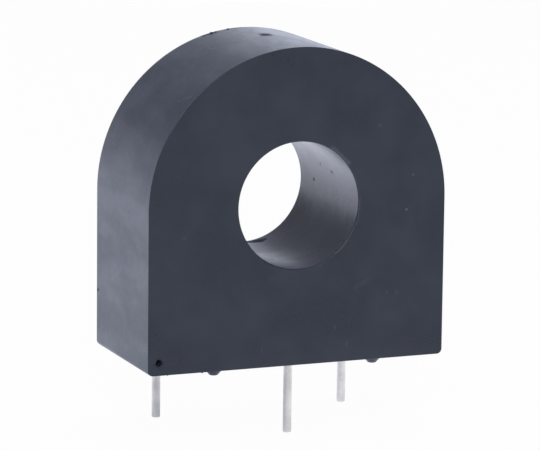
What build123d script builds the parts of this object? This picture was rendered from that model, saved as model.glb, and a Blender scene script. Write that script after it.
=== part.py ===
from build123d import *
import math
import os

# Current transformer for a printed circuit board: a wound ring core potted in an arched
# case, with a plain round bore for the primary conductor and three pins below.
# Millimetres. The origin is the middle of the bore. +Y runs along the bore from the
# closed front face to the potted back, and +Z is up, away from the board.

# Bore and case walls
bore_diameter = 9.5
bore_chamfer = 0.2
sleeve_wall = 0.75
side_wall = 1.0
front_wall = 1.0
floor_wall = 1.2
corner_radius = 0.4
cavity_corner = 0.3
front_edge_chamfer = 0.12

# Ring core in its box: the case is laid out around it
core_build = 2.3
core_height = 5.6
core_clearance = 0.1
box_wall = 0.45

# Secondary winding, wound tight on the box, and the tape over it
winding_inner_build = 0.55
winding_outer_build = 0.4
winding_end_build = 0.45
winding_gap = 26.0
turn_bundles = 24
groove_angle = 2.0
groove_depth = 0.12
tape_thickness = 0.12

# Room round the taped ring inside the case
sleeve_clearance = 0.2
arch_clearance = 0.46
floor_clearance = 0.51
rib_height = 0.46
rib_width = 0.8
rib_count = 6
lead_room = 2.0
resin_recess = 0.3

# Pins on the 2.54 grid, two in the back row and one in front. Above its round tail each
# has a square shank, which is pressed into the floor and can't turn there.
pin_diameter = 0.64
shank_width = 0.7
pin_length = 5.5
pin_row_spacing = 15.24
pin_depth_spacing = 7.62
pin_end_chamfer = 0.08
pin_top_clearance = 0.6
boss_width = 2.0
boss_height = 0.6
support_head_width = 1.2
support_head_height = 0.3

# Lead-outs from the winding to the back pins
wire_diameter = 0.25
tubing_wall = 0.12
tubing_clearance = 0.03
tubing_end_gap = 0.3
lead_pin_gap = 0.05
solder_cover = 0.15
solder_margin = 0.15

# Feet under the case, the rear two further in to stay clear of the pins' pads on the
# board, and the mark by the first pin
foot_diameter = 1.3
foot_height = 0.4
foot_taper = 40.0
foot_spacing = 12.7
rear_foot_spacing = 10.16
foot_inset = 0.75
mark_diameter = 0.5
mark_depth = 0.6
mark_side_inset = 0.85
mark_height = 0.95

# Radii about the bore axis, from the bore outwards
bore_radius = bore_diameter / 2
sleeve_radius = bore_radius + sleeve_wall
rib_root = bore_radius + sleeve_wall / 2
ring_inner = sleeve_radius + sleeve_clearance
winding_inner = ring_inner + tape_thickness
box_inner = winding_inner + winding_inner_build
core_inner = box_inner + box_wall + core_clearance
core_outer = core_inner + core_build
box_outer = core_outer + core_clearance + box_wall
winding_outer = box_outer + winding_outer_build
ring_outer = winding_outer + tape_thickness
cavity_radius = ring_outer + arch_clearance
case_radius = cavity_radius + side_wall

# Heights: the ring stands clear of the floor by as much as its pins need
cavity_floor = -(ring_outer + floor_clearance)
underside = cavity_floor - floor_wall
pin_tip = underside - pin_length

# Places along the bore, counted from the front face
ring_depth = (core_height + 2 * core_clearance + 2 * box_wall
              + 2 * winding_end_build + 2 * tape_thickness)
body_depth = front_wall + rib_height + ring_depth + lead_room
front_y = -body_depth / 2
back_y = body_depth / 2
cavity_front = front_y + front_wall
ring_front = cavity_front + rib_height
ring_back = ring_front + ring_depth
winding_front = ring_front + tape_thickness
winding_back = ring_back - tape_thickness
box_front = winding_front + winding_end_build
box_back = winding_back - winding_end_build
core_front = box_front + box_wall + core_clearance
resin_back = back_y - resin_recess

# Pins and lead-outs
pin_radius = pin_diameter / 2
pin_x = pin_row_spacing / 2
back_pin_y = pin_depth_spacing / 2
support_pin_y = -pin_depth_spacing / 2
boss_top = cavity_floor + boss_height
inner_shank_side = pin_x - shank_width / 2
pin_top = -math.sqrt(ring_outer**2 - inner_shank_side**2) - pin_top_clearance
wire_radius = wire_diameter / 2
tubing_inner = wire_radius + tubing_clearance
tubing_outer = tubing_inner + tubing_wall
lead_y = back_pin_y + shank_width / 2 + lead_pin_gap + wire_radius
turn_pitch = (360 - winding_gap + groove_angle) / turn_bundles
lead_angle = math.radians((winding_gap + turn_pitch - groove_angle) / 2)
lead_radius = (winding_inner + winding_outer) / 2
lead_x = lead_radius * math.sin(lead_angle)
lead_z = -lead_radius * math.cos(lead_angle)
solder_bottom = boss_top + solder_margin
solder_top = pin_top - solder_margin
solder_middle = (solder_bottom + solder_top) / 2
solder_radius = shank_width / 2 + lead_pin_gap + wire_diameter + solder_cover


def across(y):
    """The plane square to the bore at that y, with x to the right and y upwards."""
    return Plane.XZ.offset(-y)


def arch_profile(radius, floor, corner):
    """A half circle over straight sides, down to a flat floor with rounded corners."""
    with BuildSketch() as profile:
        with BuildLine():
            CenterArc((0, 0), radius, 0, 180)
            Polyline((-radius, 0), (-radius, floor), (radius, floor), (radius, 0))
        make_face()
        fillet(profile.vertices().group_by(Axis.Y)[0], corner)
    return profile.sketch


def ring_profile(inner, outer):
    """A flat ring between two radii."""
    with BuildSketch() as profile:
        Circle(outer)
        Circle(inner, mode=Mode.SUBTRACT)
    return profile.sketch


def wrap_section(inner, outer, front, back):
    """The section of a wrap on the ring: radius from the bore axis by depth."""
    with BuildSketch() as section:
        with Locations(((inner + outer) / 2, (front + back) / 2)):
            Rectangle(outer - inner, back - front)
    return section.sketch


def radial_plane(degrees):
    """The half plane through the bore axis, that angle on from straight down."""
    angle = math.radians(degrees)
    outwards = (-math.sin(angle), 0, -math.cos(angle))
    square = (math.cos(angle), 0, -math.sin(angle))
    return Plane(origin=(0, 0, 0), x_dir=outwards, z_dir=square)


def keep(piece, name):
    """Labels a finished piece and writes it to its own file."""
    piece.label = name
    export_step(piece, f"parts/{name}.step")


os.makedirs("parts", exist_ok=True)

# Case: one moulding with the front face, arched wall, floor, bore sleeve and feet
with BuildPart() as case:
    with BuildSketch(across(front_y)):
        add(arch_profile(case_radius, underside, corner_radius))
    extrude(amount=-body_depth)
    chamfer(case.faces().sort_by(Axis.Y)[0].outer_wire().edges(), front_edge_chamfer)
    with BuildSketch(across(cavity_front)):
        add(arch_profile(cavity_radius, cavity_floor, cavity_corner))
    extrude(amount=-(body_depth - front_wall), mode=Mode.SUBTRACT)
    # Bore sleeve, and ribs that hold the ring off the front wall
    with BuildSketch(across(cavity_front)):
        Circle(sleeve_radius)
    extrude(amount=-(body_depth - front_wall))
    with BuildSketch(across(cavity_front)):
        with PolarLocations((rib_root + ring_outer) / 2, rib_count):
            Rectangle(ring_outer - rib_root, rib_width)
    extrude(amount=-rib_height)
    # Through bore with its broken edges
    with BuildSketch(across(front_y)):
        Circle(bore_radius)
    extrude(amount=-body_depth, mode=Mode.SUBTRACT)
    mouths = case.edges().filter_by(GeomType.CIRCLE).filter_by(
        lambda edge: abs(edge.radius - bore_radius) < bore_chamfer / 100
    )
    chamfer(mouths, bore_chamfer)
    # Bosses and holes for the pins
    with BuildSketch(Plane.XY.offset(cavity_floor)):
        with Locations((-pin_x, back_pin_y), (pin_x, back_pin_y)):
            Rectangle(boss_width, boss_width)
    extrude(amount=boss_height)
    with BuildSketch(Plane.XY.offset(underside)):
        with Locations((-pin_x, back_pin_y), (pin_x, back_pin_y), (0, support_pin_y)):
            Rectangle(shank_width, shank_width)
    extrude(amount=floor_wall + boss_height, mode=Mode.SUBTRACT)
    # Room for the support pin's head, also where the pin stands close to a wall
    with BuildSketch(Plane.XY.offset(cavity_floor)):
        with Locations((0, support_pin_y)):
            Rectangle(support_head_width, support_head_width)
    extrude(amount=support_head_height, mode=Mode.SUBTRACT)
    # Tapered feet that hold the case off the board
    with BuildSketch(Plane.XY.offset(underside)):
        for spacing, y in ((foot_spacing, front_y + foot_inset),
                           (rear_foot_spacing, back_y - foot_inset)):
            with Locations((-spacing / 2, y), (spacing / 2, y)):
                Circle(foot_diameter / 2)
    extrude(amount=-foot_height, taper=foot_taper)
    # Round mark on the front face, on the side of the start pin
    with BuildSketch(across(front_y)):
        with Locations((mark_side_inset - case_radius, underside + mark_height)):
            Circle(mark_diameter / 2)
    extrude(amount=-mark_depth, mode=Mode.SUBTRACT)
keep(case.part, "case")

# Core: magnetic strip wound into a plain ring
with BuildPart() as core:
    with BuildSketch(across(core_front)):
        add(ring_profile(core_inner, core_outer))
    extrude(amount=-core_height)
keep(core.part, "core")

# Core box: a round tray, and a flat lid bonded on its two rims
tray_depth = box_back - box_front - box_wall
with BuildPart() as core_tray:
    with BuildSketch(across(box_front)):
        add(ring_profile(box_inner, box_outer))
    extrude(amount=-tray_depth)
    with BuildSketch(across(box_front + box_wall)):
        add(ring_profile(box_inner + box_wall, box_outer - box_wall))
    extrude(amount=-(tray_depth - box_wall), mode=Mode.SUBTRACT)
keep(core_tray.part, "core_tray")

with BuildPart() as core_lid:
    with BuildSketch(across(box_back)):
        add(ring_profile(box_inner, box_outer))
    extrude(amount=box_wall)
keep(core_lid.part, "core_lid")

# Secondary winding: bundles of turns round the box, with a bare sector at the bottom
# between the start and the finish. The bundles lie tight in the ring's hole and spread
# over its ends and its outside, where a groove parts each from the next.
with BuildPart() as groove:
    with BuildSketch(radial_plane(winding_gap / 2 + turn_pitch - groove_angle)):
        add(wrap_section(box_inner, winding_outer + groove_depth,
                         winding_front - groove_depth, winding_back + groove_depth))
        add(wrap_section(box_inner, winding_outer - groove_depth,
                         winding_front + groove_depth, winding_back - groove_depth),
            mode=Mode.SUBTRACT)
    revolve(axis=Axis.Y, revolution_arc=groove_angle)

with BuildPart() as secondary_winding:
    with BuildSketch(radial_plane(winding_gap / 2)):
        add(wrap_section(winding_inner, winding_outer, winding_front, winding_back))
        add(wrap_section(box_inner, box_outer, box_front, box_back), mode=Mode.SUBTRACT)
    revolve(axis=Axis.Y, revolution_arc=360 - winding_gap)
    add([groove.part.rotate(Axis.Y, turn * turn_pitch) for turn in range(turn_bundles - 1)],
        mode=Mode.SUBTRACT)
keep(secondary_winding.part, "secondary_winding")

# Pins, lead-outs, tubing and solder joints of the two winding ends
joined_pieces = []
leads = []
for side, end in ((-1, "start"), (1, "finish")):
    with BuildPart() as pin:
        with BuildSketch(Plane.XY.offset(pin_tip)):
            with Locations((side * pin_x, back_pin_y)):
                Circle(pin_radius)
        extrude(amount=pin_length)
        chamfer(pin.edges().sort_by(Axis.Z)[0], pin_end_chamfer)
        with BuildSketch(Plane.XY.offset(underside)):
            with Locations((side * pin_x, back_pin_y)):
                Rectangle(shank_width, shank_width)
        extrude(amount=pin_top - underside)
    keep(pin.part, f"{end}_pin")

    leaves = (side * lead_x, winding_back, lead_z)
    turns = (side * lead_x, lead_y, lead_z)
    stops = (side * pin_x, lead_y, solder_middle)
    with BuildPart() as lead:
        with BuildLine():
            Polyline(leaves, turns, stops)
        with BuildSketch(Plane(origin=leaves, z_dir=(0, 1, 0))):
            Circle(wire_radius)
        sweep(transition=Transition.RIGHT)
    keep(lead.part, f"{end}_lead")

    run = Vector(*stops) - Vector(*turns)
    tubing_start = Vector(*turns) + run.normalized() * tubing_end_gap
    with BuildPart() as tubing:
        with BuildSketch(Plane(origin=tubing_start, z_dir=run)):
            add(ring_profile(tubing_inner, tubing_outer))
        extrude(amount=run.length - solder_radius - 2 * tubing_end_gap)
    keep(tubing.part, f"{end}_tubing")

    with BuildPart() as solder:
        with BuildSketch(Plane.XY.offset(solder_bottom)):
            with Locations((side * pin_x, back_pin_y)):
                Circle(solder_radius)
                Rectangle(shank_width, shank_width, mode=Mode.SUBTRACT)
        extrude(amount=solder_top - solder_bottom)
        add(lead.part, mode=Mode.SUBTRACT)
    keep(solder.part, f"{end}_solder")

    leads.append(lead.part)
    joined_pieces += [pin.part, lead.part, tubing.part, solder.part]

# Support pin: no connection, held by its head above the floor
with BuildPart() as support_pin:
    with BuildSketch(Plane.XY.offset(pin_tip)):
        with Locations((0, support_pin_y)):
            Circle(pin_radius)
    extrude(amount=pin_length)
    chamfer(support_pin.edges().sort_by(Axis.Z)[0], pin_end_chamfer)
    with BuildSketch(Plane.XY.offset(underside)):
        with Locations((0, support_pin_y)):
            Rectangle(shank_width, shank_width)
    extrude(amount=cavity_floor - underside)
    with BuildSketch(Plane.XY.offset(cavity_floor)):
        with Locations((0, support_pin_y)):
            Rectangle(support_head_width, support_head_width)
    extrude(amount=support_head_height)
keep(support_pin.part, "support_pin")

# Tape over the whole winding, with a hole where each lead-out leaves
with BuildPart() as taped_ring:
    with BuildSketch(Plane.XY):
        add(wrap_section(ring_inner, ring_outer, ring_front, ring_back))
    revolve(axis=Axis.Y)

with BuildPart() as winding_tape:
    add(taped_ring.part)
    with BuildSketch(Plane.XY):
        add(wrap_section(winding_inner, winding_outer, winding_front, winding_back))
    revolve(axis=Axis.Y, mode=Mode.SUBTRACT)
    add(leads, mode=Mode.SUBTRACT)
keep(winding_tape.part, "winding_tape")

# Potting resin: fills the case round everything in it, a little below the back rim
with BuildPart() as potting:
    with BuildSketch(across(cavity_front)):
        add(arch_profile(cavity_radius, cavity_floor, cavity_corner))
        Circle(sleeve_radius, mode=Mode.SUBTRACT)
    extrude(amount=-(resin_back - cavity_front))
    for filled in (case.part, taped_ring.part, support_pin.part, *joined_pieces):
        add(filled, mode=Mode.SUBTRACT)
keep(potting.part, "potting")

print(f"case {2 * case_radius:.2f} wide, {body_depth:.2f} deep, "
      f"{case_radius - underside:.2f} high")
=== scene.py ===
import logging
import math
from dataclasses import dataclass
from enum import Enum
from typing import Any, Callable, ClassVar, Sequence

import bmesh
import bpy
from mathutils import Matrix, Vector


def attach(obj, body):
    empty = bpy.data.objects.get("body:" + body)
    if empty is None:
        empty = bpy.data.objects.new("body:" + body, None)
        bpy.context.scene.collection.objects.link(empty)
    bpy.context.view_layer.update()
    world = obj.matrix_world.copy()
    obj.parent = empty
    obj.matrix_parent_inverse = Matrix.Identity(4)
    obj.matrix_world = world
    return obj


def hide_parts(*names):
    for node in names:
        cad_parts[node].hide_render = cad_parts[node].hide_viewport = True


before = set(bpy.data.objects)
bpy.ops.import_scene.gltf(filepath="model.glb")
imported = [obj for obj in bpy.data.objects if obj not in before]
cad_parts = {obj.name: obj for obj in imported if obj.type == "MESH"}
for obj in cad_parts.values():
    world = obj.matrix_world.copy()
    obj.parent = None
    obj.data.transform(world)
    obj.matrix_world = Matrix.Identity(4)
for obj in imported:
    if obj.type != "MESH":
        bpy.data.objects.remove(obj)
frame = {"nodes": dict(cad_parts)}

log = logging.getLogger("current_transformer")

# Sizes are in millimetres, and Blender's own units are metres.
MM = 0.001
# What is less than this apart, in millimetres, counts as one place
NEAR = 1e-4
# Vertices of a full round on the case, its bore and its resin
FULL_ROUND = 192
# How closely a direction has to follow an axis to count as along it
ALONG = 0.99
# Each pin's axis, as x and y
PINS = {"start_pin": (-7.62, 3.81), "finish_pin": (7.62, 3.81), "support_pin": (0.0, -3.81)}
WHITE = (1, 1, 1, 1)

Pair = tuple[float, float]
Point = tuple[float, float, float]
Colour = tuple[float, float, float, float]
Test = Callable[[Vector, Vector], bool]
Socket = bpy.types.NodeSocket
Sockets = dict[str, Socket]
# A shader's inputs, as constants and sockets
Inputs = dict[str, Any]


class Facing(Enum):
    """Which way the axis of a round primitive points."""

    UPRIGHT = (0.0, 0.0, 0.0)
    ALONG_BORE = (math.pi / 2, 0.0, 0.0)


class Kind(Enum):
    """What is selected in edit mode."""

    VERTEX = "VERT"
    EDGE = "EDGE"
    FACE = "FACE"


class Joining(Enum):
    """How one solid is worked into another."""

    ADD = "UNION"
    CUT = "DIFFERENCE"


class Workpiece:
    """A piece on the bench, shaped by operators as by hand, in millimetres."""

    def __init__(self, name: str) -> None:
        """Takes up the primitive that was added last.

        Args:
            name: the piece's name.
        """
        self.obj: bpy.types.Object = bpy.context.view_layer.objects.active
        self.obj.name = name
        self.obj.data.name = name
        bpy.ops.object.transform_apply(location=True, rotation=True, scale=True)

    @staticmethod
    def clear_bench() -> None:
        """Deselects everything, so that an operator meets nothing else."""
        if bpy.context.object is not None and bpy.context.object.mode != "OBJECT":
            bpy.ops.object.mode_set(mode="OBJECT")
        bpy.ops.object.select_all(action="DESELECT")

    @classmethod
    def disc(cls, name: str, radius: float, centre: Point, sides: int, facing: Facing,
             filled: bool = True) -> "Workpiece":
        """Adds a flat disc, or only its rim.

        Args:
            name: the piece's name.
            radius: radius of the rim.
            centre: middle of the disc.
            sides: vertices round the rim.
            facing: which way its axis points.
            filled: whether the rim gets a face.

        Returns:
            The new piece.
        """
        cls.clear_bench()
        bpy.ops.mesh.primitive_circle_add(
            vertices=sides, radius=radius * MM, location=Vector(centre) * MM,
            rotation=facing.value, fill_type="NGON" if filled else "NOTHING")
        return cls(name)

    @classmethod
    def block(cls, name: str, low: Point, high: Point) -> "Workpiece":
        """Adds a block between two corners.

        Args:
            name: the piece's name.
            low: its lowest corner.
            high: its highest corner.

        Returns:
            The new piece.
        """
        cls.clear_bench()
        bpy.ops.mesh.primitive_cube_add(
            size=1, location=(Vector(low) + Vector(high)) / 2 * MM,
            scale=(Vector(high) - Vector(low)) * MM)
        return cls(name)

    @classmethod
    def post(cls, name: str, at: Pair, width: float, span: Pair) -> "Workpiece":
        """Adds an upright square post.

        Args:
            name: the piece's name.
            at: its axis, as x and y.
            width: across its flats.
            span: its lower and upper end.

        Returns:
            The new piece.
        """
        x, y = at
        half = width / 2
        return cls.block(name, (x - half, y - half, span[0]), (x + half, y + half, span[1]))

    @classmethod
    def bead(cls, name: str, radius: float, centre: Point, fineness: int = 2) -> "Workpiece":
        """Adds a round bead.

        Args:
            name: the piece's name.
            radius: its radius.
            centre: its middle.
            fineness: how often its faces are split.

        Returns:
            The new piece.
        """
        cls.clear_bench()
        bpy.ops.mesh.primitive_ico_sphere_add(
            subdivisions=fineness, radius=radius * MM, location=Vector(centre) * MM)
        return cls(name)

    @classmethod
    def turned(cls, name: str, stations: Sequence[Pair], axis_at: Pair = (0, 0),
               sides: int = FULL_ROUND, facing: Facing = Facing.ALONG_BORE) -> "Workpiece":
        """Turns a closed solid: a disc is extruded from station to station and resized.

        Args:
            name: the piece's name.
            stations: place along the axis and radius there, in order.
            axis_at: where the axis passes, as x and y if upright, or x and z along the bore.
            sides: vertices round the piece.
            facing: which way its axis points.

        Returns:
            The new piece.
        """
        def on_axis(place: float) -> Vector:
            """The axis point at that place."""
            if facing is Facing.UPRIGHT:
                return Vector((axis_at[0], axis_at[1], place))
            return Vector((axis_at[0], place, axis_at[1]))

        place, radius = stations[0]
        piece = cls.disc(name, radius, tuple(on_axis(place)), sides, facing)
        piece.open_up()
        bpy.ops.mesh.select_all(action="SELECT")
        for next_place, next_radius in stations[1:]:
            step = on_axis(next_place) - on_axis(place)
            bpy.ops.mesh.extrude_region_move(TRANSFORM_OT_translate={"value": step * MM})
            grow = next_radius / radius
            bpy.ops.transform.resize(value=(grow, grow, grow),
                                     center_override=on_axis(next_place) * MM)
            place, radius = next_place, next_radius
        piece.face_outwards()
        return piece

    @classmethod
    def arch(cls, name: str, radius: float, floor: float, corner: float,
             span: Pair) -> "Workpiece":
        """Makes a half-round block on straight sides, with rounded lower corners.

        Args:
            name: the piece's name.
            radius: of the half round, about the bore axis.
            floor: height of its underside.
            corner: radius of the lower corners.
            span: where it starts and ends along the bore.

        Returns:
            The closed block.
        """
        start, end = span
        piece = cls.disc(name, radius, (0, start, 0), FULL_ROUND, Facing.ALONG_BORE, False)
        piece.pick(Kind.VERTEX, lambda at, _: at.z < -NEAR)
        bpy.ops.mesh.delete(type="VERT")
        piece.pick(Kind.VERTEX, lambda at, _: at.z < NEAR)
        bpy.ops.mesh.extrude_vertices_move(TRANSFORM_OT_translate={"value": (0, 0, floor * MM)})
        bpy.ops.mesh.select_all(action="SELECT")
        bpy.ops.mesh.edge_face_add()
        bpy.ops.mesh.extrude_region_move(
            TRANSFORM_OT_translate={"value": (0, (end - start) * MM, 0)})
        piece.face_outwards()
        piece.pick(Kind.EDGE, lambda at, way: abs(way.y) > ALONG and at.z < floor + 10 * NEAR)
        bpy.ops.mesh.bevel(offset=corner * MM, segments=8, affect="EDGES", clamp_overlap=True)
        piece.lay_down()
        return piece

    def open_up(self) -> None:
        """Puts this piece alone in edit mode."""
        self.lay_down()
        bpy.ops.object.mode_set(mode="EDIT")

    def lay_down(self) -> None:
        """Leaves edit mode with this piece selected alone."""
        self.clear_bench()
        bpy.context.view_layer.objects.active = self.obj
        self.obj.select_set(True)

    def pick(self, kind: Kind, test: Test) -> None:
        """Selects elements by their place and direction, in edit mode.

        Args:
            kind: what is selected.
            test: takes the element's middle in millimetres and its normal, or an edge's
                direction, and says whether it is selected.
        """
        if self.obj.mode != "EDIT":
            self.open_up()
        bpy.ops.mesh.select_mode(type=kind.value)
        bpy.ops.mesh.select_all(action="DESELECT")
        mesh = bmesh.from_edit_mesh(self.obj.data)
        if kind is Kind.VERTEX:
            found = [(v, v.co, v.normal) for v in mesh.verts]
        elif kind is Kind.EDGE:
            found = [(e, (e.verts[0].co + e.verts[1].co) / 2,
                      (e.verts[1].co - e.verts[0].co).normalized()) for e in mesh.edges]
        else:
            found = [(f, f.calc_center_median(), f.normal) for f in mesh.faces]
        for element, place, direction in found:
            if test(place / MM, direction):
                element.select_set(True)
        bmesh.update_edit_mesh(self.obj.data)

    def face_outwards(self) -> None:
        """Merges doubles and turns all normals outwards."""
        if self.obj.mode != "EDIT":
            self.open_up()
        bpy.ops.mesh.select_all(action="SELECT")
        bpy.ops.mesh.remove_doubles(threshold=NEAR * MM)
        bpy.ops.mesh.normals_make_consistent(inside=False)
        self.lay_down()

    def work_in(self, tool: "Workpiece", how: Joining) -> None:
        """Joins another solid to this one or cuts it away, and uses it up.

        Args:
            tool: the other solid.
            how: whether it is added or cut away.
        """
        self.lay_down()
        bpy.ops.object.modifier_add(type="BOOLEAN")
        fit = self.obj.modifiers[-1]
        fit.operation = how.value
        fit.solver = "EXACT"
        fit.object = tool.obj
        bpy.ops.object.modifier_apply(modifier=fit.name)
        bpy.data.objects.remove(tool.obj)

    def finish_surface(self, angle: float = 30.0) -> None:
        """Smooths the round faces, keeps the flat ones flat and the edges crisp.

        Args:
            angle: edges sharper than this many degrees stay crisp.
        """
        self.lay_down()
        bpy.ops.object.shade_smooth_by_angle(angle=math.radians(angle))
        bpy.ops.object.modifier_add(type="WEIGHTED_NORMAL")
        weigh = self.obj.modifiers[-1]
        weigh.keep_sharp = True
        bpy.ops.object.modifier_apply(modifier=weigh.name)

    def hand_over(self, finish: "Finish") -> bpy.types.Object:
        """Gives the finished piece its material and fixes it to the object's one body.

        Args:
            finish: its finish.

        Returns:
            The Blender object.
        """
        self.lay_down()
        self.obj.data.materials.clear()
        self.obj.data.materials.append(finish.material())
        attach(self.obj, "root")
        bpy.ops.object.select_all(action="DESELECT")
        log.info("%s: %d faces", self.obj.name, len(self.obj.data.polygons))
        return self.obj


class Wiring:
    """Adds nodes to one node tree and joins them."""

    def __init__(self, tree: bpy.types.NodeTree, place: Socket | None = None) -> None:
        """Keeps the tree, and the vector that its textures are read at."""
        self.tree = tree
        self.place = place

    @classmethod
    def afresh(cls, owner: bpy.types.Material | bpy.types.World, place: str) -> "Wiring":
        """Empties the tree of a material or world, to be wired anew.

        Args:
            owner: the material or world.
            place: which texture coordinates it is read at.

        Returns:
            The wiring of its tree.
        """
        owner.use_nodes = True
        owner.node_tree.nodes.clear()
        wiring = cls(owner.node_tree)
        wiring.place = wiring.add("ShaderNodeTexCoord").outputs[place]
        return wiring

    def add(self, kind: str, values: dict[str | int, Any] | None = None,
            **settings: Any) -> bpy.types.Node:
        """Adds a node.

        Args:
            kind: the node's type.
            values: for an input, its constant or the socket that feeds it.
            **settings: the node's own settings.

        Returns:
            The new node.
        """
        node = self.tree.nodes.new(kind)
        for name, value in settings.items():
            setattr(node, name, value)
        for key, value in (values or {}).items():
            if isinstance(value, Socket):
                self.tree.links.new(value, node.inputs[key])
            else:
                node.inputs[key].default_value = value
        return node

    def sum(self, how: str, *terms: Any, clamp: bool = False) -> Socket:
        """Works out one value from constants or sockets, by a Math node's operation."""
        return self.add("ShaderNodeMath", dict(enumerate(terms)), operation=how,
                        use_clamp=clamp).outputs[0]

    def times(self, first: Any, second: Any) -> Socket:
        """Multiplies two constants or sockets."""
        return self.sum("MULTIPLY", first, second)

    def fade(self, value: Any, start: float, end: float, low: float = 0.0,
             high: float = 1.0) -> Socket:
        """Maps the range from start to end smoothly on that from low to high."""
        return self.add("ShaderNodeMapRange", {0: value, 1: start, 2: end, 3: low, 4: high},
                        interpolation_type="SMOOTHSTEP").outputs[0]

    def blend(self, share: Any, first: Any, second: Any) -> Socket:
        """Mixes two colours by the share of the second."""
        return self.add("ShaderNodeMix", {0: share, 6: first, 7: second},
                        data_type="RGBA").outputs[2]

    def noise(self, scale: Any, detail: float = 2.0, roughness: float = 0.5,
              place: Socket | None = None) -> Socket:
        """Reads a noise of so many cells a metre, at the tree's place or another.

        Args:
            scale: cells a metre.
            detail: finer layers.
            roughness: their strength.
            place: the vector it is read at, if not the tree's.

        Returns:
            The value's socket.
        """
        return self.add("ShaderNodeTexNoise", {
            "Vector": self.place if place is None else place, "Scale": scale,
            "Detail": detail, "Roughness": roughness}).outputs[0]

    def laid(self, **values: Point) -> Socket:
        """Turns or stretches the place, by the Mapping node's inputs."""
        return self.add("ShaderNodeMapping", {"Vector": self.place} | values).outputs[0]

    def relief(self, height: Socket, depth: float) -> Socket:
        """Makes a bump normal, where a height of 1 stands for so many millimetres."""
        return self.add("ShaderNodeBump", {"Height": height, "Distance": depth * MM,
                                           "Strength": 1.0}).outputs[0]


class Effect:
    """A shader effect that several materials share, kept as one node group."""

    title: ClassVar[str]
    # Each number that it takes beside the place, with its starting value
    numbers: ClassVar[dict[str, float]] = {}
    # Further places that it takes
    places: ClassVar[tuple[str, ...]] = ()
    gives: ClassVar[tuple[str, ...]] = ("Mask",)

    @classmethod
    def wire(cls, wiring: Wiring, given: Sockets) -> Sockets:
        """Builds the inside of the group, from its inputs to what feeds each output."""
        raise NotImplementedError

    @classmethod
    def put(cls, wiring: Wiring, **values: Any) -> Sockets:
        """Puts the group in a material, and builds it the first time.

        Args:
            wiring: the material's tree.
            **values: the group's inputs, where they differ from its own.

        Returns:
            The group's outputs.
        """
        tree = bpy.data.node_groups.get(cls.title)
        if tree is None:
            tree = bpy.data.node_groups.new(cls.title, "ShaderNodeTree")
            for name in ("Vector", *cls.places):
                tree.interface.new_socket(name, in_out="INPUT", socket_type="NodeSocketVector")
            for name, start in cls.numbers.items():
                tree.interface.new_socket(
                    name, in_out="INPUT", socket_type="NodeSocketFloat").default_value = start
            for name in cls.gives:
                tree.interface.new_socket(name, in_out="OUTPUT", socket_type="NodeSocketFloat")
            inputs = tree.nodes.new("NodeGroupInput").outputs
            result = tree.nodes.new("NodeGroupOutput").inputs
            given = {name: inputs[name] for name in (*cls.places, *cls.numbers)}
            for name, socket in cls.wire(Wiring(tree, inputs["Vector"]), given).items():
                tree.links.new(socket, result[name])
        node = wiring.add("ShaderNodeGroup", {"Vector": wiring.place} | values, node_tree=tree)
        return {name: node.outputs[name] for name in cls.gives}


class RoundTheBore(Effect):
    """Polar place about the bore axis: radius and depth in millimetres, angle in turns."""

    title = "round_the_bore"
    gives = ("Radius", "Turn", "Depth")

    @classmethod
    def wire(cls, wiring: Wiring, given: Sockets) -> Sockets:
        """Splits the place into radius, angle and depth along the bore.

        Args:
            wiring: the group's tree.
            given: its inputs, not used here.

        Returns:
            What feeds each output.
        """
        x, y, z = wiring.add("ShaderNodeSeparateXYZ", {0: wiring.place}).outputs
        square = wiring.sum("ADD", wiring.times(x, x), wiring.times(z, z))
        return {"Radius": wiring.sum("DIVIDE", wiring.sum("SQRT", square), MM),
                "Turn": wiring.sum("DIVIDE", wiring.sum("ARCTAN2", x, z), math.tau),
                "Depth": wiring.sum("DIVIDE", y, MM)}


class Clouding(Effect):
    """Soft cloudy patches, as on handled or unevenly cooled plastic."""

    title = "clouding"
    numbers = {"Scale": 300.0}
    gives = ("Broad", "Fine")

    @classmethod
    def wire(cls, wiring: Wiring, given: Sockets) -> Sockets:
        """Reads a broad noise, and one seven times as fine.

        Args:
            wiring: the group's tree.
            given: its inputs.

        Returns:
            What feeds each output.
        """
        broad = wiring.noise(given["Scale"], 4.0, 0.55)
        fine = wiring.noise(wiring.times(given["Scale"], 7.0), 5.0, 0.65)
        return {"Broad": wiring.fade(broad, 0.35, 0.68), "Fine": wiring.fade(fine, 0.3, 0.7)}


class Grain(Effect):
    """The fine skin of a spark-eroded mould, and the slow waves under it."""

    title = "grain"
    numbers = {"Scale": 9000.0, "Waves": 0.5}
    gives = ("Height",)

    @classmethod
    def wire(cls, wiring: Wiring, given: Sockets) -> Sockets:
        """Adds slow waves to a fine noise.

        Args:
            wiring: the group's tree.
            given: its inputs.

        Returns:
            What feeds the output.
        """
        fine = wiring.noise(given["Scale"], 2.0, 0.6)
        slow = wiring.times(wiring.noise(420.0, 2.0, 0.4), given["Waves"])
        return {"Height": wiring.sum("ADD", fine, slow)}


class Specks(Effect):
    """Scattered small dots, for dust, pinholes and pits."""

    title = "specks"
    numbers = {"Scale": 900.0, "Size": 0.1, "Share": 0.2}

    @classmethod
    def wire(cls, wiring: Wiring, given: Sockets) -> Sockets:
        """Keeps a round, soft-edged dot in a share of the cells.

        Args:
            wiring: the group's tree.
            given: its inputs.

        Returns:
            What feeds the output.
        """
        cells = wiring.add("ShaderNodeTexVoronoi", {"Vector": wiring.place,
                                                    "Scale": given["Scale"]}).outputs
        near = wiring.sum("SUBTRACT", given["Size"], cells["Distance"])
        dot = wiring.sum("DIVIDE", near, wiring.times(given["Size"], 0.6), clamp=True)
        draw = wiring.add("ShaderNodeSeparateColor", {0: cells["Color"]}).outputs[0]
        return {"Mask": wiring.times(dot, wiring.sum("LESS_THAN", draw, given["Share"]))}


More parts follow.
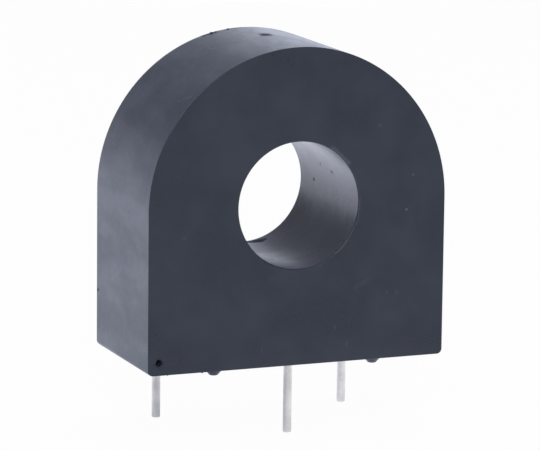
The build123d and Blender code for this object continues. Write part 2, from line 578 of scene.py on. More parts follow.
class Scratches(Effect):
    """Short fine scratches in two directions."""

    title = "scratches"
    numbers = {"Scale": 500.0, "Share": 0.2}
    # Each direction's angle, and how its dots are stretched into lines
    directions: ClassVar[tuple[tuple[float, Point], ...]] = (
        (0.6, (0.09, 1.0, 1.6)), (-0.9, (1.5, 1.0, 0.08)))

    @classmethod
    def wire(cls, wiring: Wiring, given: Sockets) -> Sockets:
        """Stretches dots into lines, twice.

        Args:
            wiring: the group's tree.
            given: its inputs.

        Returns:
            What feeds the output.
        """
        masks = []
        for angle, stretch in cls.directions:
            laid = wiring.laid(Rotation=(0.3, angle, 0.2), Scale=stretch)
            masks.append(Specks.put(wiring, Vector=laid, Size=0.05, **given)["Mask"])
        return {"Mask": wiring.sum("MAXIMUM", *masks)}


class Scuff(Effect):
    """One soft mark between two places: a scratch if it is long, a pit if it is short."""

    title = "scuff"
    places = ("From", "To")
    numbers = {"Width": 0.1}

    @classmethod
    def wire(cls, wiring: Wiring, given: Sockets) -> Sockets:
        """Fades with the distance to the nearest point of the mark, with a ragged edge.

        Args:
            wiring: the group's tree.
            given: its inputs.

        Returns:
            What feeds the output.
        """
        def between(how: str, *terms: Any) -> Any:
            """A vector operation's outputs: a vector and a value."""
            return wiring.add("ShaderNodeVectorMath", dict(enumerate(terms)),
                              operation=how).outputs

        start = given["From"]
        along = between("SUBTRACT", given["To"], start)[0]
        away = between("SUBTRACT", wiring.place, start)[0]
        share = wiring.sum("DIVIDE", between("DOT_PRODUCT", away, along)[1],
                           between("DOT_PRODUCT", along, along)[1], clamp=True)
        part = wiring.add("ShaderNodeVectorMath", {0: along, "Scale": share}, operation="SCALE")
        nearest = between("ADD", start, part.outputs[0])[0]
        gap = wiring.sum("DIVIDE", between("DISTANCE", wiring.place, nearest)[1],
                         wiring.times(given["Width"], MM))
        ragged = wiring.sum("MULTIPLY_ADD", wiring.noise(5000.0, 2.0, 0.6), 1.2, -0.6)
        return {"Mask": wiring.fade(wiring.sum("ADD", gap, ragged), 1.0, 0.2)}


class Finish:
    """A surface finish. Each kind wires the inputs of its own Principled shader."""

    title: ClassVar[str]
    slot: ClassVar[str]

    def wire(self, wiring: Wiring) -> Inputs:
        """Wires the finish in the material's tree, and gives its shader's inputs."""
        raise NotImplementedError

    def material(self) -> bpy.types.Material:
        """Makes the material, or gives the one made before.

        Returns:
            The material.
        """
        made = bpy.data.materials.get(self.title)
        if made is None:
            made = bpy.data.materials.new(self.title)
            wiring = Wiring.afresh(made, "Object")
            shader = wiring.add("ShaderNodeBsdfPrincipled", self.wire(wiring))
            wiring.add("ShaderNodeOutputMaterial", {"Surface": shader.outputs[0]})
        return made


@dataclass(frozen=True)
class Mark:
    """A scratch, speck, pit, or a spot of painted highlight or painted shade, at its own place,
    in millimetres.
    """

    start: Point
    end: Point
    width: float
    strength: float


@dataclass(frozen=True)
class CasePlastic(Finish):
    """Matt black moulded plastic: cloudy sheen, scuff marks, painted highlight and shade, and a
    wavy, pitted bore.
    """

    title: ClassVar[str] = "matt_black_case"
    slot: ClassVar[str] = "case_plastic"
    dark: Colour = (0.021, 0.027, 0.046, 1)
    pale: Colour = (0.029, 0.036, 0.058, 1)
    # Colour of dust, scratches and scuff marks, and of the painted highlight along the bore's rim
    dust: Colour = (0.30, 0.31, 0.34, 1)
    # Painted shade, laid in the pits, the dark wedge at the bore's far end, on the flash, at the
    # gate's dent and in the moulded mark
    painted_shade: Colour = (0.006, 0.007, 0.010, 1)
    sheen: Colour = (0.4, 0.5, 0.95, 1)
    bore_radius: float = 4.75
    front: float = -5.65
    # How much of the dust colour a random speck and a random scratch show
    dusty: float = 0.3
    scratched: float = 0.2
    # Roughness of the bare plastic, and what clouds, the bore's polish and pits add to it
    rough: Pair = (0.27, 0.32)
    clouded: float = 0.08
    polished: float = -0.15
    shade_roughness: float = 0.6
    # Relief of the bore's waves, its pinholes (taken off) and the pits, in units of depth
    waves: float = 13.0
    pinholes: float = 1.6
    pitted: float = -12.0
    depth: float = 0.004
    # The handled film's smears and haze, and how thick it is at the bore's top and bottom
    smeared: float = 0.22
    hazy: float = 0.26
    bore_film: Pair = (0.75, 0.06)
    scuffs_and_rim_highlight: tuple[Mark, ...] = (
        Mark((4.59, -5.65, -6.47), (5.67, -5.65, -5.89), 0.26, 0.035),
        Mark((7.13, -5.65, -6.99), (7.13, -5.65, -6.89), 0.14, 0.06),
        Mark((7.91, -5.65, -7.13), (7.98, -5.65, -6.93), 0.14, 0.06),
        Mark((3.01, -5.65, -9.41), (3.01, -5.65, -9.21), 0.12, 0.07),
        Mark((3.93, -5.65, -10.8), (3.95, -5.65, -10.6), 0.12, 0.07),
        Mark((9.10, -5.65, 1.79), (9.14, -5.65, 1.83), 0.12, 0.16),
        Mark((6.31, -5.65, 5.62), (6.37, -5.65, 5.64), 0.12, 0.12),
        Mark((-2.80, -5.65, -10.37), (-2.87, -5.65, -10.84), 0.10, 0.05),
        Mark((-8.53, -4.02, 8.09), (-8.24, -4.85, 8.37), 0.10, 0.20),
        Mark((-8.75, -3.5, 7.84), (-8.66, -3.8, 7.94), 0.09, 0.14),
        Mark((-9.15, -5.65, -1.88), (-8.86, -5.65, -1.90), 0.09, 0.07),
        Mark((2.60, -5.65, 4.15), (3.95, -5.65, 2.95), 0.24, 0.13),
        # Painted highlight: a lighter band along the bore's rim at the right and lower right, in
        # three arcs
        Mark((4.88, -5.65, 0.30), (4.72, -5.65, -1.30), 0.08, 0.08),
        Mark((4.72, -5.65, -1.30), (3.60, -5.65, -3.32), 0.08, 0.08),
        Mark((3.60, -5.65, -3.32), (1.60, -5.65, -4.62), 0.08, 0.07),
        Mark((-11.75, 1.92, -6.09), (-11.75, 0.24, -5.21), 0.30, 0.06))
    # Sunk pits that are also darkened with painted shade: in the bore, with the dark wedge at its
    # far end, then at the gate, on the flash and round the moulded mark
    pits: tuple[Mark, ...] = (
        Mark((4.51, -1.20, 1.49), (4.51, -0.95, 1.49), 0.16, 0.8),
        Mark((4.74, 2.75, 0.26), (4.74, 2.95, 0.26), 0.18, 0.8),
        Mark((4.39, 0.85, 1.81), (4.45, 1.0, 1.66), 0.14, 0.6),
        Mark((-0.60, -1.9, -4.71), (-0.52, -1.9, -4.72), 0.16, 0.7),
        Mark((0.26, 5.12, -4.74), (1.10, 4.31, -4.62), 0.30, 1.0),
        Mark((0.85, 4.95, -4.67), (1.25, 4.60, -4.58), 0.50, 1.0),
        Mark((-0.20, 0.75, 11.72), (0.02, 1.60, 11.72), 0.60, 0.36),
        Mark((-3.30, 5.50, 11.25), (-2.50, 5.50, 11.46), 0.50, 1.0),
        Mark((-1.50, 5.55, 11.64), (-0.50, 5.62, 11.73), 0.38, 0.9),
        Mark((-10.9, -5.45, -11.05), (-10.9, -5.05, -11.05), 0.52, 1.0))

    @staticmethod
    def tally(wiring: Wiring, marks: tuple[Mark, ...]) -> Socket:
        """Gathers marks into one mask.

        Args:
            wiring: the material's tree.
            marks: the marks.

        Returns:
            The strongest of them at each place.
        """
        level: Any = 0.0
        for mark in marks:
            scuff = Scuff.put(wiring, From=tuple(Vector(mark.start) * MM),
                              To=tuple(Vector(mark.end) * MM), Width=mark.width)
            level = wiring.sum("MAXIMUM", level, wiring.times(scuff["Mask"], mark.strength))
        return level

    def wire(self, wiring: Wiring) -> Inputs:
        """Wires clouds, dust, scuff marks, a painted rim highlight, the bore's waves, pits with
        painted shade, grain and a handled film.

        Args:
            wiring: the material's tree.

        Returns:
            The shader's inputs.
        """
        around = RoundTheBore.put(wiring)
        clouds = Clouding.put(wiring, Scale=260.0)
        in_bore = wiring.fade(around["Radius"], self.bore_radius + 0.12,
                              self.bore_radius + 0.02)
        turned = wiring.sum("ABSOLUTE", around["Turn"])
        # Colour: dust and scratches stay out of the bore, scuff marks and the painted highlight
        # on the bore's rim lighten it, and painted shade lies in the pits
        dust = Specks.put(wiring, Scale=700.0, Size=0.09, Share=0.04)
        lines = Scratches.put(wiring, Scale=420.0, Share=0.06)
        random = wiring.sum("MAXIMUM", wiring.times(dust["Mask"], self.dusty),
                            wiring.times(lines["Mask"], self.scratched))
        random = wiring.times(random, wiring.sum("SUBTRACT", 1.0, in_bore))
        # Lighter marks: dust, scratches, scuff marks, and the painted highlight on the bore's rim
        light = wiring.sum("MAXIMUM", random, self.tally(wiring, self.scuffs_and_rim_highlight))
        # Mask of the pits and marks that take the painted shade
        deep = self.tally(wiring, self.pits)
        colour = wiring.blend(clouds["Broad"], self.dark, self.pale)
        colour = wiring.blend(deep, wiring.blend(light, colour, self.dust), self.painted_shade)
        # Roughness: the top of the bore is the most polished
        rough = wiring.fade(clouds["Fine"], 0.0, 1.0, *self.rough)
        rough = wiring.sum("MULTIPLY_ADD", clouds["Broad"], self.clouded, rough)
        polish = wiring.times(in_bore, wiring.fade(turned, 0.20, 0.34, 1.0, 0.0))
        rough = wiring.sum("MULTIPLY_ADD", polish, self.polished, rough)
        rough = wiring.sum("MULTIPLY_ADD", deep, self.shade_roughness, rough, clamp=True)
        # Relief: grain all over, waves and pinholes in the bore, and the pits
        grain = Grain.put(wiring, Scale=9000.0, Waves=1.6)
        uneven = wiring.times(wiring.noise(330.0, 2.0, 0.45), in_bore)
        height = wiring.sum("MULTIPLY_ADD", uneven, self.waves, grain["Height"])
        holes = Specks.put(wiring, Scale=1900.0, Size=0.3, Share=0.2)
        sunk = wiring.times(wiring.times(holes["Mask"], in_bore), self.pinholes)
        height = wiring.sum("SUBTRACT", height, sunk)
        height = wiring.sum("MULTIPLY_ADD", deep, self.pitted, height)
        # Film: slanted smears and haze, thin on the front face and by height in the bore
        slanted = wiring.laid(Rotation=(0.55, 0.3, 0.0), Scale=(1.0, 0.3, 1.0))
        smear = wiring.fade(wiring.noise(480.0, 3.0, 0.5, slanted), 0.42, 0.66)
        film = wiring.sum("MULTIPLY_ADD", smear, self.smeared,
                          wiring.times(clouds["Broad"], self.hazy))
        film = wiring.times(film, wiring.fade(around["Depth"], self.front + 0.02,
                                              self.front + 0.1, 0.2, 1.0))
        inside = wiring.times(wiring.fade(turned, 0.16, 0.34, *self.bore_film),
                              wiring.fade(clouds["Broad"], 0.0, 1.0, 0.7, 1.0))
        film = wiring.sum("MULTIPLY_ADD", in_bore, wiring.sum("SUBTRACT", inside, film), film)
        return {"Base Color": colour, "Roughness": rough, "Coat Weight": film,
                "Coat Roughness": 0.3, "Sheen Weight": 0.14, "Sheen Roughness": 0.4,
                "Sheen Tint": self.sheen, "Normal": wiring.relief(height, self.depth)}


@dataclass(frozen=True)
class CloudedFinish(Finish):
    """Soft patches of two colours and a gloss that varies, over a fine relief."""

    first: Colour
    second: Colour
    patch_scale: float
    rough: Pair
    depth: float
    second_share: float = 1.0
    metallic: float = 0.0
    subsurface: float = 0.0

    def height(self, wiring: Wiring) -> Socket:
        """Wires the relief in the material's tree, and gives its height."""
        raise NotImplementedError

    def wire(self, wiring: Wiring) -> Inputs:
        """Wires the patches and the relief.

        Args:
            wiring: the material's tree.

        Returns:
            The shader's inputs.
        """
        clouds = Clouding.put(wiring, Scale=self.patch_scale)
        share = clouds["Broad"]
        if self.second_share < 1.0:
            share = wiring.times(share, self.second_share)
        return {"Base Color": wiring.blend(share, self.first, self.second),
                "Roughness": wiring.fade(clouds["Fine"], 0.0, 1.0, *self.rough),
                "Metallic": self.metallic, "Subsurface Weight": self.subsurface,
                "Normal": wiring.relief(self.height(wiring), self.depth)}


@dataclass(frozen=True)
class PottingResin(CloudedFinish):
    """Semi-gloss cured black resin with slow waves and a few pinholes."""

    title: ClassVar[str] = "cured_black_resin"
    slot: ClassVar[str] = "potting_resin"
    first: Colour = (0.018, 0.018, 0.020, 1)
    second: Colour = (0.032, 0.032, 0.036, 1)
    patch_scale: float = 220.0
    rough: Pair = (0.12, 0.2)
    depth: float = 0.16

    def height(self, wiring: Wiring) -> Socket:
        """Adds a faint fine noise to slow waves, and sinks the pinholes in.

        Args:
            wiring: the material's tree.

        Returns:
            The height.
        """
        holes = Specks.put(wiring, Scale=520.0, Size=0.13, Share=0.14)
        fine = wiring.times(wiring.noise(2600.0), 0.015)
        height = wiring.sum("ADD", wiring.noise(150.0, 1.5, 0.4), fine)
        return wiring.sum("SUBTRACT", height, wiring.times(holes["Mask"], 0.5))


@dataclass(frozen=True)
class TinnedWire(CloudedFinish):
    """Satin tinned wire: drawn lines along it, and duller blotches."""

    title: ClassVar[str] = "satin_tinned_wire"
    slot: ClassVar[str] = "tinned_wire"
    first: Colour = (0.90, 0.88, 0.86, 1)
    second: Colour = (0.70, 0.68, 0.66, 1)
    patch_scale: float = 900.0
    rough: Pair = (0.3, 0.4)
    depth: float = 0.0015
    second_share: float = 0.7
    metallic: float = 1.0

    def height(self, wiring: Wiring) -> Socket:
        """Reads a noise stretched into lines along Z."""
        return wiring.noise(14000.0, 3.0, 0.6, wiring.laid(Scale=(1.0, 1.0, 0.04)))


@dataclass(frozen=True)
class CoreBoxPlastic(CloudedFinish):
    """Natural moulded polyamide, cream and faintly cloudy."""

    title: ClassVar[str] = "natural_polyamide"
    slot: ClassVar[str] = "core_box_plastic"
    first: Colour = (0.76, 0.74, 0.68, 1)
    second: Colour = (0.66, 0.62, 0.53, 1)
    patch_scale: float = 340.0
    rough: Pair = (0.4, 0.55)
    depth: float = 0.01
    subsurface: float = 0.08

    def height(self, wiring: Wiring) -> Socket:
        """Takes the mould's grain."""
        return Grain.put(wiring, Scale=6000.0, Waves=1.2)["Height"]


@dataclass(frozen=True)
class LeadTubing(CloudedFinish):
    """Thin milky tubing, a little uneven along its length."""

    title: ClassVar[str] = "milky_tubing"
    slot: ClassVar[str] = "lead_tubing"
    first: Colour = (0.82, 0.82, 0.79, 1)
    second: Colour = (0.72, 0.70, 0.62, 1)
    patch_scale: float = 1200.0
    rough: Pair = (0.35, 0.5)
    depth: float = 0.006
    subsurface: float = 0.1

    def height(self, wiring: Wiring) -> Socket:
        """Reads a noise stretched into lines along X."""
        return wiring.noise(12000.0, place=wiring.laid(Scale=(0.05, 1.0, 1.0)))


@dataclass(frozen=True)
class SolderMetal(CloudedFinish):
    """Bright solder that set with a slightly frosted, rippled skin."""

    title: ClassVar[str] = "frosted_solder"
    slot: ClassVar[str] = "solder"
    first: Colour = (0.68, 0.68, 0.66, 1)
    second: Colour = (0.48, 0.48, 0.47, 1)
    patch_scale: float = 1500.0
    rough: Pair = (0.15, 0.4)
    depth: float = 0.05
    metallic: float = 1.0

    def height(self, wiring: Wiring) -> Socket:
        """Reads ripples."""
        return wiring.noise(2500.0)


@dataclass(frozen=True)
class WoundStrip(Finish):
    """Bright magnetic strip wound on itself: its edges show as fine rings."""

    title: ClassVar[str] = "wound_strip_edges"
    slot: ClassVar[str] = "core_strip"
    bright: Colour = (0.55, 0.55, 0.57, 1)
    shade: Colour = (0.24, 0.24, 0.26, 1)
    # Layers to the millimetre, and how far they wander in millimetres
    layers: float = 25.0
    astray: float = 0.05

    def wire(self, wiring: Wiring) -> Inputs:
        """Wires rings that wander a little.

        Args:
            wiring: the material's tree.

        Returns:
            The shader's inputs.
        """
        wander = wiring.noise(400.0)
        radius = wiring.sum("ADD", RoundTheBore.put(wiring)["Radius"],
                            wiring.times(wander, self.astray))
        wave = wiring.sum("SINE", wiring.times(radius, self.layers * math.tau))
        level = wiring.fade(wave, -1.0, 1.0)
        return {"Base Color": wiring.blend(level, self.shade, self.bright), "Metallic": 1.0,
                "Roughness": wiring.fade(wander, 0.3, 0.7, 0.25, 0.4),
                "Normal": wiring.relief(level, 0.006)}


@dataclass(frozen=True)
class EnamelledCopper(Finish):
    """Enamelled copper. On the winding the turns show as fine lines across the ring."""

    title: ClassVar[str] = "enamelled_turns"
    slot: ClassVar[str] = "enamelled_copper"
    bright: Colour = (0.72, 0.30, 0.12, 1)
    deep: Colour = (0.36, 0.12, 0.04, 1)
    # Lines in a full round, and how far they wander in turns
    turns: float = 420.0
    astray: float = 0.004

    def wire(self, wiring: Wiring) -> Inputs:
        """Wires lines by the angle round the bore, which wander a little.

        Args:
            wiring: the material's tree.

        Returns:
            The shader's inputs.
        """
        clouds = Clouding.put(wiring, Scale=600.0)
        turn = wiring.sum("ADD", RoundTheBore.put(wiring)["Turn"],
                          wiring.times(wiring.noise(900.0), self.astray))
        wave = wiring.sum("SINE", wiring.times(turn, self.turns * math.tau))
        level = wiring.fade(wave, -1.0, 0.6)
        return {"Base Color": wiring.blend(level, self.deep, self.bright), "Metallic": 0.9,
                "Roughness": wiring.fade(clouds["Fine"], 0.0, 1.0, 0.22, 0.36),
                "Coat Weight": 0.4, "Normal": wiring.relief(level, 0.03)}


@dataclass(frozen=True)
class PolyesterTape(Finish):
    """Thin yellow polyester tape, wound with overlapping edges."""

    title: ClassVar[str] = "lapped_polyester_tape"
    slot: ClassVar[str] = "insulating_tape"
    single: Colour = (0.80, 0.64, 0.16, 1)
    double: Colour = (0.62, 0.44, 0.06, 1)
    # Wraps in a full round, and how far an edge slants, in turns to the millimetre
    wraps: float = 26.0
    slant: float = 0.006

    def wire(self, wiring: Wiring) -> Inputs:
        """Wires an edge at each wrap, slanted along the bore.

        Args:
            wiring: the material's tree.

        Returns:
            The shader's inputs.
        """
        around = RoundTheBore.put(wiring)
        turn = wiring.sum("ADD", around["Turn"], wiring.times(around["Depth"], self.slant))
        lap = wiring.fade(wiring.sum("FRACT", wiring.times(turn, self.wraps)), 0.46, 0.5)
        crease = wiring.noise(1500.0, 3.0, 0.6)
        height = wiring.sum("ADD", lap, wiring.times(crease, 0.5))
        return {"Base Color": wiring.blend(lap, self.single, self.double),
                "Roughness": wiring.fade(crease, 0.3, 0.7, 0.18, 0.32),
                "Normal": wiring.relief(height, 0.03)}


@dataclass(frozen=True)
class CaseMoulding:
    """The black case: front face, arched wall, floor, bore sleeve, ribs, bosses and feet."""

    radius: float = 11.75
    underside: float = -12.0
    front: float = -5.65
    back: float = 5.65
    corner: float = 0.4
    front_edge: float = 0.06
    back_edge: float = 0.05
    cavity_radius: float = 10.75
    cavity_floor: float = -10.8
    cavity_front: float = -4.65
    cavity_corner: float = 0.3
    sleeve_radius: float = 5.5
    bore_radius: float = 4.75
    mouth: float = 0.12
    rib_root: float = 5.125
    rib_end: float = 10.29
    rib_width: float = 0.8
    rib_height: float = 0.46
    rib_count: int = 6
    boss_width: float = 2.0
    boss_top: float = -10.2
    shank_width: float = 0.7
    foot_radius: float = 0.65
    foot_tip_radius: float = 0.314
    foot_height: float = 0.4
    mark_radius: float = 0.25
    mark_depth: float = 0.6
    mark_edge: float = 0.03
    foot_sides: int = 48
    mark_sides: int = 40
    # How a foot's tip is broken: height above it, and what its radius gains
    foot_edge: tuple[Pair, ...] = ((0.0, -0.03), (0.012, -0.006), (0.04, 0.028))
    # How the mark closes, in shares of its depth and its radius
    mark_end: tuple[Pair, ...] = ((0.7, 0.95), (0.9, 0.7), (1.0, 0.3))
    # How far a cutting tool stands out of what it cuts
    clear: float = 0.5
    # How far bosses and feet reach into the floor, and the mark's tool out of the face
    overlap: float = 0.3
    rib_overlap: float = 0.2
    feet: tuple[Pair, ...] = ((-6.35, -4.9), (6.35, -4.9), (-5.08, 4.9), (5.08, 4.9))
    mark: Pair = (-10.9, -11.05)
    # Small lumps of flash on the back and bottom edges: place and radius
    flash: tuple[tuple[Point, float], ...] = (
        ((-3.34, 5.42, 11.15), 0.16), ((-3.04, 5.42, 11.23), 0.15), ((-2.74, 5.38, 11.31), 0.21),
        ((-2.42, 5.44, 11.39), 0.16), ((-1.38, 5.46, 11.58), 0.15), ((-1.12, 5.49, 11.59), 0.12),
        ((-0.84, 5.49, 11.62), 0.12), ((-0.50, 5.51, 11.63), 0.11), ((-7.50, -5.55, -12.0), 0.07),
        ((-10.2, -5.57, -12.0), 0.05))
    # The gate's dent on top and a pinhole by the back edge: place, radius of tool, fineness
    dents: tuple[tuple[Point, float, int], ...] = (
        ((-0.10, 1.10, 13.88), 2.2, 6), ((-11.80, 5.36, -7.67), 0.16, 2))

    def body(self) -> Workpiece:
        """Makes the outer block with its edges broken.

        Returns:
            The block.
        """
        body = Workpiece.arch("case_moulding", self.radius, self.underside, self.corner,
                              (self.front, self.back))
        for face, width, steps in ((self.front, self.front_edge, 4),
                                   (self.back, self.back_edge, 2)):
            body.pick(Kind.EDGE, lambda at, way: (abs(at.y - face) < NEAR
                                                  and abs(way.y) < 1 - ALONG))
            bpy.ops.mesh.bevel(offset=width * MM, segments=steps, affect="EDGES")
        body.lay_down()
        return body

    def hollow(self) -> Workpiece:
        """Makes what the moulding leaves open round its sleeve.

        Returns:
            The hollow, as a solid to cut with.
        """
        hollow = Workpiece.arch("hollow", self.cavity_radius, self.cavity_floor,
                                self.cavity_corner, (self.cavity_front, self.back + 1))
        sleeve = Workpiece.turned("sleeve", ((self.cavity_front - 1, self.sleeve_radius),
                                             (self.back + 2, self.sleeve_radius)))
        hollow.work_in(sleeve, Joining.CUT)
        return hollow

    def bore(self) -> Workpiece:
        """Makes the bore with its rounded mouths.

        Returns:
            The bore, as a solid to cut with.
        """
        wide = self.bore_radius + self.mouth
        curve = [(self.mouth - self.mouth * math.cos(t), wide - self.mouth * math.sin(t))
                 for t in (math.radians(15 * k) for k in range(7))]
        stations = [(self.front - self.clear, wide)]
        stations += [(self.front + depth, radius) for depth, radius in curve]
        stations += [(self.back - depth, radius) for depth, radius in reversed(curve)]
        stations += [(self.back + self.clear, wide)]
        return Workpiece.turned("bore", stations)

    def rib(self, turn: int) -> Workpiece:
        """Makes one of the ribs that hold the ring off the front wall.

        Args:
            turn: its number, counted round the bore.

        Returns:
            The rib.
        """
        half = self.rib_width / 2
        rib = Workpiece.block("rib", (self.rib_root, self.cavity_front - self.rib_overlap, -half),
                              (self.rib_end, self.cavity_front + self.rib_height, half))
        rib.open_up()
        bpy.ops.mesh.select_all(action="SELECT")
        bpy.ops.transform.rotate(value=math.tau * turn / self.rib_count, orient_axis="Y",
                                 center_override=(0, 0, 0))
        rib.lay_down()
        return rib

    def foot(self, at: Pair) -> Workpiece:
        """Makes one tapered foot with its tip edge broken, reaching a little into the floor.

        Args:
            at: its middle, as x and y.

        Returns:
            The foot.
        """
        low, tip = self.underside - self.foot_height, self.foot_tip_radius
        stations = [(low + up, tip + out) for up, out in self.foot_edge]
        stations += [(self.underside, self.foot_radius),
                     (self.underside + self.overlap, self.foot_radius)]
        return Workpiece.turned("foot", stations, at, self.foot_sides, Facing.UPRIGHT)

    def dimple(self) -> Workpiece:
        """Makes the blind mark, a little wider at the face and closing at its end.

        Returns:
            The mark, as a solid to cut with.
        """
        wide = self.mark_radius + self.mark_edge
        stations = [(self.front - self.overlap, wide), (self.front, wide),
                    (self.front + self.mark_edge, self.mark_radius)]
        stations += [(self.front + self.mark_depth * down, self.mark_radius * across)
                     for down, across in self.mark_end]
        return Workpiece.turned("mark", stations, self.mark, self.mark_sides)

    def make(self) -> None:
        """Builds the whole moulding and dresses it, in place of the case node."""
        body = self.body()
        body.work_in(self.hollow(), Joining.CUT)
        for turn in range(self.rib_count):
            body.work_in(self.rib(turn), Joining.ADD)
        boss_span = self.cavity_floor - self.overlap, self.boss_top
        for node in ("start_pin", "finish_pin"):
            boss = Workpiece.post("boss", PINS[node], self.boss_width, boss_span)
            body.work_in(boss, Joining.ADD)
        body.work_in(self.bore(), Joining.CUT)
        hole_span = self.underside - self.clear, self.boss_top + self.clear
        for at in PINS.values():
            hole = Workpiece.post("pin_hole", at, self.shank_width, hole_span)
            body.work_in(hole, Joining.CUT)
        for at in self.feet:
            body.work_in(self.foot(at), Joining.ADD)
        body.work_in(self.dimple(), Joining.CUT)
        for centre, radius in self.flash:
            body.work_in(Workpiece.bead("flash", radius, centre), Joining.ADD)
        for centre, radius, fineness in self.dents:
            body.work_in(Workpiece.bead("dent", radius, centre, fineness), Joining.CUT)
        body.finish_surface()
        piece = body.hand_over(CasePlastic())
        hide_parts("case")


@dataclass(frozen=True)
class ResinBack:
    """The cured skin of the potting resin, which climbs a little where it meets a wall."""

    radius: float = 10.76
    floor: float = -10.81
    corner: float = 0.3
    sleeve_radius: float = 5.49
    level: float = 5.35
    # How far it reaches into the potting, and how far it climbs
    overlap: float = 0.02
    climb: float = 0.16
    # Edges sharper than this many degrees stay crisp
    crisp: float = 60.0
    # How far each step goes in from the wall, and how far down
    meniscus: tuple[Pair, ...] = (
        (0.02, 0.05), (0.03, 0.035), (0.05, 0.028), (0.08, 0.02), (0.12, 0.012))

    def make(self) -> None:
        """Builds the skin by insets that step down from the wall, and dresses it."""
        skin = Workpiece.arch("resin_skin", self.radius, self.floor, self.corner,
                              (self.level - self.overlap, self.level + self.climb))
        sleeve = Workpiece.turned("sleeve", ((self.level - 1, self.sleeve_radius),
                                             (self.level + 1, self.sleeve_radius)))
        skin.work_in(sleeve, Joining.CUT)
        skin.pick(Kind.FACE, lambda at, way: way.y > ALONG)
        for inward, down in self.meniscus:
            bpy.ops.mesh.inset(thickness=inward * MM, depth=-down * MM, use_boundary=True,
                               use_even_offset=True)
        skin.finish_surface(self.crisp)
        skin.hand_over(PottingResin())


@dataclass(frozen=True)
class TerminalPin:
    """One tinned pin: a round tail with its end rounded over, on a square shank."""

    node: str
    radius: float = 0.32
    shank_width: float = 0.7
    shank_edge: float = 0.05
    tip: float = -17.5
    underside: float = -12.0
    top: float = -7.882
    head_width: float = 0.0
    head_height: float = 0.0
    end_round: float = 0.08
    overlap: float = 0.2
    sides: int = 64
    # Edges sharper than this many degrees stay crisp
    crisp: float = 35.0

    def tail(self) -> Workpiece:
        """Turns the round tail, reaching a little into the shank.

        Returns:
            The tail.
        """
        turns = [math.radians(18 * k) for k in range(6)]
        profile = [(self.tip + self.end_round * (1 - math.sin(t)),
                    self.radius - self.end_round * (1 - math.cos(t))) for t in reversed(turns)]
        profile += [(self.underside + self.overlap, self.radius)]
        return Workpiece.turned(f"{self.node}_wire", profile, PINS[self.node], self.sides,
                                Facing.UPRIGHT)

    def bar(self, width: float, low: float) -> Workpiece:
        """Makes a square bar up to the pin's top, with its upright edges broken.

        Args:
            width: across its flats.
            low: its lower end.

        Returns:
            The bar.
        """
        bar = Workpiece.post("bar", PINS[self.node], width, (low, self.top))
        bar.pick(Kind.EDGE, lambda at, way: abs(way.z) > ALONG)
        bpy.ops.mesh.bevel(offset=self.shank_edge * MM, segments=2, affect="EDGES")
        bar.lay_down()
        return bar

    def make(self) -> None:
        """Builds the pin and dresses it, in place of its node."""
        pin = self.tail()
        pin.work_in(self.bar(self.shank_width, self.underside), Joining.ADD)
        if self.head_width:
            pin.work_in(self.bar(self.head_width, self.top - self.head_height), Joining.ADD)
        pin.finish_surface(self.crisp)
        piece = pin.hand_over(TinnedWire())
        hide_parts(self.node)


class InnerParts:
    """The CAD solids inside the case, which keep their shape and get their finish."""

    finishes: ClassVar[dict[str, Finish]] = {
        "potting": PottingResin(),
        "core": WoundStrip(),
        "core_tray": CoreBoxPlastic(),
        "core_lid": CoreBoxPlastic(),
        "secondary_winding": EnamelledCopper(),
        "winding_tape": PolyesterTape(),
        "start_lead": EnamelledCopper(),
        "finish_lead": EnamelledCopper(),
        "start_tubing": LeadTubing(),
        "finish_tubing": LeadTubing(),
        "start_solder": SolderMetal(),
        "finish_solder": SolderMetal(),
    }

    def dress(self, nodes: dict[str, bpy.types.Object]) -> None:
        """Gives each inner solid its material.

        Args:
            nodes: the CAD nodes by name.
        """
        for name, finish in self.finishes.items():
            for slot in nodes[name].material_slots:
                slot.material = finish.material()
            log.info("%s: finished as %s", name, finish.title)


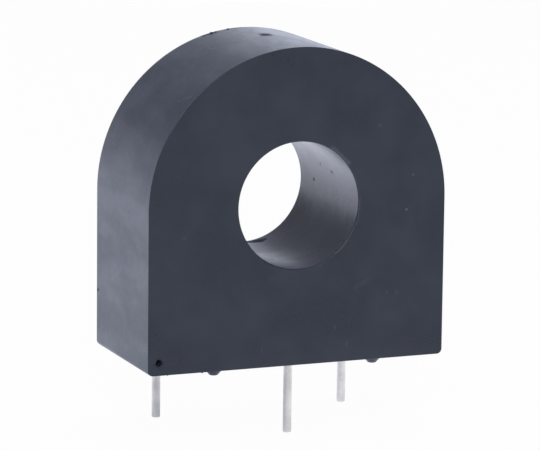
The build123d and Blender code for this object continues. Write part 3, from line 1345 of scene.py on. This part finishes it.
@dataclass(frozen=True)
class Studio:
    """Pale floor, soft light and the camera: angles in degrees, sizes in millimetres."""

    azimuth: float = -22.12
    elevation: float = 10.86
    roll: float = 0.659
    distance: float = 271.0
    target: Point = (-2.3, -5.65, -1.3)
    lens: float = 246.7
    floor_level: float = -17.5
    floor_size: float = 4000.0
    paper: Colour = (0.8, 0.8, 0.8, 1)
    # How much of the floor that the camera sees shines by itself
    lit: float = 0.97
    dim_sky: Colour = (0.24, 0.25, 0.27, 1)
    bright_sky: Colour = (1.38, 1.44, 1.62, 1)
    cool_white: Colour = (0.98, 1.02, 1.18, 1)
    # Each softbox: name, place, size and power in watts
    softboxes: tuple[tuple[str, Point, float, float], ...] = (
        ("front_softbox", (-180, -420, 260), 300, 1.4),
        ("top_softbox", (60, 40, 420), 260, 0.5))
    lamp_target: Point = (0, 0, -2)

    def place_camera(self) -> None:
        """Places the camera at the photograph's angle, with its slight roll."""
        turn, rise, roll = (math.radians(v) for v in (self.azimuth, self.elevation, self.roll))
        back = Vector((math.sin(turn) * math.cos(rise), -math.cos(turn) * math.cos(rise),
                       math.sin(rise)))
        right = (-back).cross(Vector((0, 0, 1))).normalized()
        up = right.cross(-back)
        rolled = right * math.cos(roll) + up * math.sin(roll)
        upright = up * math.cos(roll) - right * math.sin(roll)
        bpy.ops.object.camera_add()
        camera = bpy.context.object
        camera.name = "photo_camera"
        camera.data.sensor_width = 36
        camera.data.lens = self.lens
        camera.data.clip_start, camera.data.clip_end = 0.01, 20
        place = (Vector(self.target) + back * self.distance) * MM
        camera.matrix_world = Matrix.Translation(place) @ Matrix(
            (rolled, upright, back)).transposed().to_4x4()
        bpy.context.scene.camera = camera

    def lay_floor(self) -> None:
        """Lays a pale floor, near white with a faint shadow, and clear from below."""
        Workpiece.clear_bench()
        bpy.ops.mesh.primitive_plane_add(size=self.floor_size * MM,
                                         location=(0, 0, self.floor_level * MM))
        floor = bpy.context.object
        floor.name = "studio_floor"
        material = bpy.data.materials.new("studio_floor")
        wiring = Wiring.afresh(material, "Object")
        x, y, _ = wiring.add("ShaderNodeSeparateXYZ", {0: wiring.place}).outputs
        path = wiring.add("ShaderNodeLightPath").outputs
        # What gloss meets: bright floor behind the object, plainer floor at its right
        behind = wiring.times(wiring.fade(y, -0.014, 0.028),
                              wiring.fade(y, 0.06, 0.16, 1.0, 0.92))
        beside = wiring.times(wiring.fade(y, -0.034, -0.016),
                              wiring.fade(x, -0.016, 0.010, 0.2, 0.82))
        shining = wiring.sum("MAXIMUM", behind, beside)
        neutral = wiring.sum("MAXIMUM", path["Is Camera Ray"],
                             wiring.sum("SUBTRACT", beside, behind))
        tone = wiring.blend(neutral, self.cool_white, WHITE)
        white = wiring.add("ShaderNodeEmission", {"Color": tone, "Strength": 1.0})
        seen = wiring.sum("MAXIMUM", wiring.times(path["Is Camera Ray"], self.lit),
                          wiring.times(path["Is Glossy Ray"], shining))
        paper = wiring.add("ShaderNodeBsdfDiffuse", {"Color": self.paper})
        mixed = wiring.add("ShaderNodeMixShader", {0: seen, 1: paper.outputs[0],
                                                   2: white.outputs[0]})
        clear = wiring.add("ShaderNodeBsdfTransparent")
        below = wiring.add("ShaderNodeNewGeometry").outputs["Backfacing"]
        whole = wiring.add("ShaderNodeMixShader", {0: below, 1: mixed.outputs[0],
                                                   2: clear.outputs[0]})
        wiring.add("ShaderNodeOutputMaterial", {"Surface": whole.outputs[0]})
        floor.data.materials.append(material)

    def light(self) -> None:
        """Lights the set softly from all sides, with the brightest part low behind."""
        world = bpy.data.worlds.new("studio_light")
        bpy.context.scene.world = world
        wiring = Wiring.afresh(world, "Generated")
        x, y, z = wiring.add("ShaderNodeSeparateXYZ", {0: wiring.place}).outputs
        low = wiring.fade(wiring.sum("MULTIPLY_ADD", x, -0.35, z), 0.06, 0.30, 1.0, 0.0)
        behind = wiring.fade(y, -0.2, 0.5)
        sideways = wiring.fade(x, -0.5, 0.15, 0.65, 1.0)
        glow = wiring.times(wiring.times(low, behind), sideways)
        light = wiring.blend(glow, self.dim_sky, self.bright_sky)
        path = wiring.add("ShaderNodeLightPath").outputs
        seen = wiring.blend(path["Is Camera Ray"], light, WHITE)
        sky = wiring.add("ShaderNodeBackground", {"Color": seen, "Strength": 1.0})
        wiring.add("ShaderNodeOutputWorld", {"Surface": sky.outputs[0]})
        for name, place, size, power in self.softboxes:
            bpy.ops.object.light_add(type="AREA", location=Vector(place) * MM)
            lamp = bpy.context.object
            lamp.name = name
            lamp.data.shape = "DISK"
            lamp.data.size = size * MM
            lamp.data.energy = power
            aim = Vector(self.lamp_target) * MM - lamp.location
            lamp.rotation_euler = aim.to_track_quat("-Z", "Y").to_euler()

    def set_up(self) -> None:
        """Sets up camera, floor and light, and plain colours."""
        self.place_camera()
        self.lay_floor()
        self.light()
        bpy.context.scene.view_settings.view_transform = "Standard"
        log.info("studio: floor, two softboxes and the camera")


def main() -> None:
    """Builds the object piece by piece, dresses it and sets up the studio."""
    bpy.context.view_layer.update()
    Studio().set_up()
    CaseMoulding().make()
    ResinBack().make()
    TerminalPin("start_pin").make()
    TerminalPin("finish_pin").make()
    TerminalPin("support_pin", top=-10.5, head_width=1.2, head_height=0.3).make()
    InnerParts().dress(frame["nodes"])


if __name__ == "__main__":
    logging.basicConfig(level=logging.INFO, format="%(message)s")
    main()
